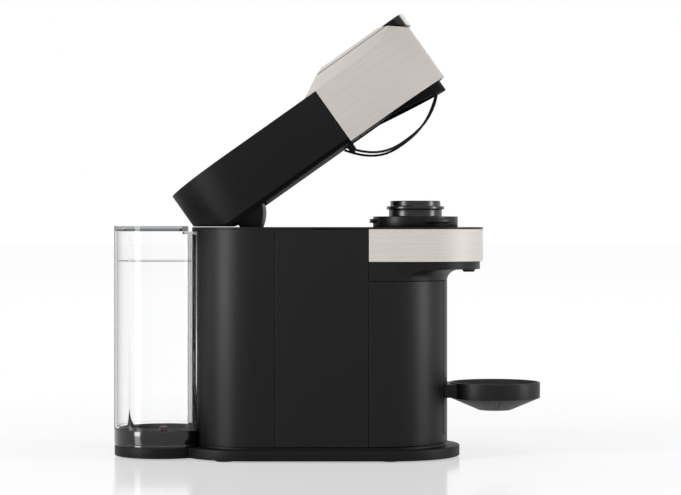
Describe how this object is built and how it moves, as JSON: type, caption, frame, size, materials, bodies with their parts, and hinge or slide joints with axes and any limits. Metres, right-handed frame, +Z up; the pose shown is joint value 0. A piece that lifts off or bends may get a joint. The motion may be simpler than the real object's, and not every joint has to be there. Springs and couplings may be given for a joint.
{
  "type": "pod coffee machine",
  "caption": "Narrow pod coffee machine with a round clear water tank behind, a brushed silver head raised on a hinged arm, a spinning capsule holder, a capsule container and a cup support.",
  "frame": {"origin": "centre of the overall box at the table, under the feet", "axes": "+X from the water tank to the cup side, +Y to the left of someone who stands behind the tank and looks at the cup side, +Z up"},
  "size_m": [0.429, 0.142, 0.4452],
  "materials": {
    "black_plastic": "fine satin, nearly black",
    "gloss_black": "gloss",
    "silver": "fine brushed lines",
    "steel": "satin",
    "copper": "dull windings",
    "clear_plastic": "clear",
    "rubber": "matt",
    "red_plastic": "dark red",
    "white_plastic": "matt",
    "board": "matt"
  },
  "bodies": {
    "machine": {"base_plate": "black_plastic", "rubber_feet": "rubber", "base_screws": "steel", "rear_shell": "black_plastic", "side_panel_left": "black_plastic", "side_panel_right": "black_plastic", "top_deck": "black_plastic", "bulkhead": "black_plastic", "brew_housing": "black_plastic", "silver_band": "silver", "collar": "black_plastic", "drum_bearing": "steel", "motor_stator": "steel", "motor_cover": "black_plastic", "coffee_spout": "black_plastic", "tank_dock": "black_plastic", "water_tank": "clear_plastic", "tank_foot": "gloss_black", "tank_valve": "red_plastic", "flow_meter": "white_plastic", "pump": "steel", "water_heater": "steel", "control_board": "board", "water_hose": "white_plastic", "cord_gland": "rubber", "hinge_drum": "black_plastic", "hinge_shaft": "steel"},
    "tank_lid": {"tank_lid": "clear_plastic"},
    "drum": {"capsule_holder": "black_plastic", "motor_rotor": "copper"},
    "container": {"container_shell": "black_plastic", "capsule_bin": "black_plastic", "front_rail": "black_plastic"},
    "cup_support": {"support_bracket": "black_plastic", "drip_bowl": "black_plastic", "cup_grid": "steel"},
    "head": {"arm_shell": "black_plastic", "arm_cover": "black_plastic", "head_cover": "silver", "head_liner": "black_plastic", "ejector_hoop": "black_plastic", "injector_housing": "black_plastic", "head_hose": "white_plastic", "light_ring": "white_plastic"},
    "lever": {"lever": "black_plastic", "lever_tip": "silver"},
    "button": {"brew_button": "black_plastic"},
    "injector": {"injector_plate": "black_plastic", "injector_needle": "steel", "injector_seal": "rubber"},
    "lock": {"locking_ring": "steel"}
  },
  "joints": [
    {"name": "head_hinge", "type": "hinge", "parent": "machine", "child": "head", "pos_m": [-0.0987, 0, 0.245], "axis": [0, -1, 0], "range_deg": [-35.3, 0]},
    {"name": "lever_press", "type": "hinge", "parent": "head", "child": "lever", "pos_m": [0.05578, 0, 0.42606], "axis": [0, 1, 0], "range_deg": [0, 4], "stiffness_Nm_per_rad": 0.8, "springref_deg": -2.86},
    {"name": "button_press", "type": "slide", "parent": "head", "child": "button", "axis": [0.5779, 0, -0.8161], "range_m": [0, 0.0015], "stiffness_N_per_m": 400, "springref_m": -0.0004},
    {"name": "injector_spin", "type": "hinge", "parent": "head", "child": "injector", "pos_m": [0.05738, 0, 0.34938], "axis": [-0.5779, 0, 0.8161], "continuous": true},
    {"name": "lock_turn", "type": "hinge", "parent": "head", "child": "lock", "pos_m": [0.05738, 0, 0.34938], "axis": [-0.5779, 0, 0.8161], "range_deg": [0, 50]},
    {"name": "drum_spin", "type": "hinge", "parent": "machine", "child": "drum", "pos_m": [0.089, 0, 0.23], "axis": [0, 0, 1], "continuous": true},
    {"name": "container_slide", "type": "slide", "parent": "machine", "child": "container", "axis": [1, 0, 0], "range_m": [0, 0.12]},
    {"name": "cup_height", "type": "slide", "parent": "container", "child": "cup_support", "axis": [0, 0, 1], "range_m": [-0.03, 0.03]},
    {"name": "tank_lid_hinge", "type": "hinge", "parent": "machine", "child": "tank_lid", "pos_m": [-0.143, 0, 0.22625], "axis": [0, 1, 0], "range_deg": [0, 40]}
  ]
}
